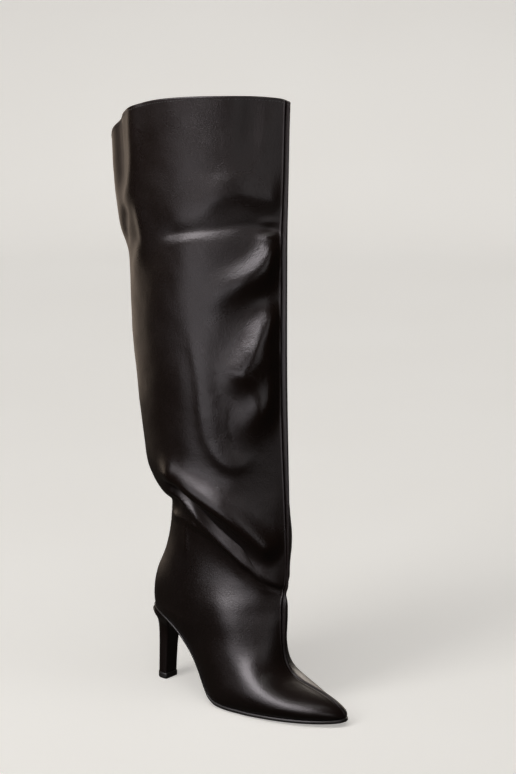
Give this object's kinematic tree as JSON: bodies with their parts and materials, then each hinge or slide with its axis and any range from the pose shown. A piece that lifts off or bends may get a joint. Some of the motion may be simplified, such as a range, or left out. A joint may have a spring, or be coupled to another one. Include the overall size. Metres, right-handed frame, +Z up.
{
  "type": "over-the-knee boot",
  "caption": "Tall pull-on over-the-knee boot with a pointed toe, a slim high heel, a raised front seam and a wide slouching shaft.",
  "frame": {"origin": "on the floor, at the middle of the underside of the top piece below the heel", "axes": "+Z up, toe toward -Y, +X toward the wearer's inner side of this right boot"},
  "size_m": [0.1182, 0.2796, 0.5911],
  "materials": {
    "upper": "smooth black faux leather, semi-gloss",
    "outsole": "black moulded sheet with a polished edge",
    "insole": "dark padded sock",
    "heel": "covered in the upper's faux leather, semi-gloss",
    "top_piece": "matt black"
  },
  "bodies": {
    "root": {"upper": "upper", "outsole": "outsole", "insole": "insole", "heel": "heel", "top_piece": "top_piece"}
  },
  "joints": []
}
